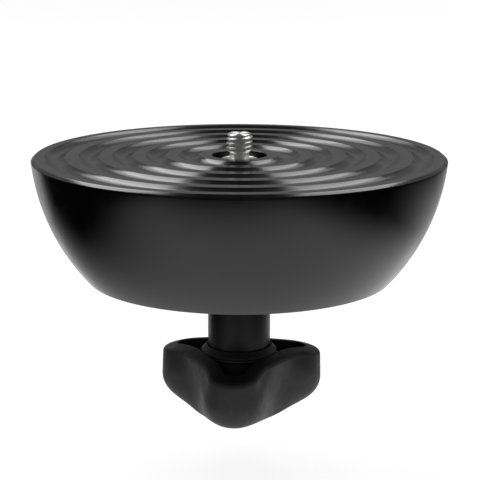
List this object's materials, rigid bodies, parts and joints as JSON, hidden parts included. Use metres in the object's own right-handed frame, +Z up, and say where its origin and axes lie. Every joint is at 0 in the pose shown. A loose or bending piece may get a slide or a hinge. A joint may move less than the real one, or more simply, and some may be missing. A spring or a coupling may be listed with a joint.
{
  "type": "tripod half ball adapter",
  "caption": "Grooved half ball with a central head screw on top and a three-lobed tie-down handle below, for standing a camera head in a tripod bowl.",
  "frame": {"origin": "on the ball's axis, in the plane of the handle's flat underside, which it stands on with the handle fully screwed up", "axes": "+Z up along the ball's axis towards the head screw, -Y towards the knob lobe that faces the camera in the picture, +X to the right"},
  "size_m": [0.1492, 0.1492, 0.1028],
  "materials": {
    "black_anodised": "black satin anodised, turned and bead-blasted",
    "stainless": "bright turned stainless steel",
    "zinc_steel": "bright zinc plated",
    "black_steel": "black oxide",
    "black_plastic": "moulded, finely textured",
    "brass": "turned",
    "nylon": "natural, smooth"
  },
  "bodies": {
    "ball": {"half_ball": "black_anodised", "tie_rod": "stainless", "seat_washer": "zinc_steel", "nut_washer": "zinc_steel", "lock_washer": "zinc_steel", "rod_nut": "zinc_steel", "stop_washer": "zinc_steel", "stop_screw": "black_steel"},
    "ring": {"pressure_ring": "black_plastic", "slip_washer": "nylon"},
    "handle": {"handle_sleeve": "black_anodised", "thread_insert": "brass", "insert_clip": "black_steel", "knob": "black_plastic", "end_plug": "zinc_steel", "knob_screw_1": "zinc_steel", "knob_screw_2": "zinc_steel", "knob_screw_3": "zinc_steel", "knob_cap": "black_plastic"}
  },
  "joints": [
    {"name": "ring_travel", "type": "slide", "parent": "ball", "child": "ring", "axis": [0, 0, -1], "range_m": [0, 0.02275]},
    {"name": "handle_turn", "type": "hinge", "parent": "ring", "child": "handle", "pos_m": [0, 0, 0.01], "axis": [0, 0, -1], "range_deg": [0, 4680]}
  ],
  "couplings": [
    {"joint": "ring_travel", "follows": "handle_turn", "m_per_rad": 0.0002785}
  ]
}
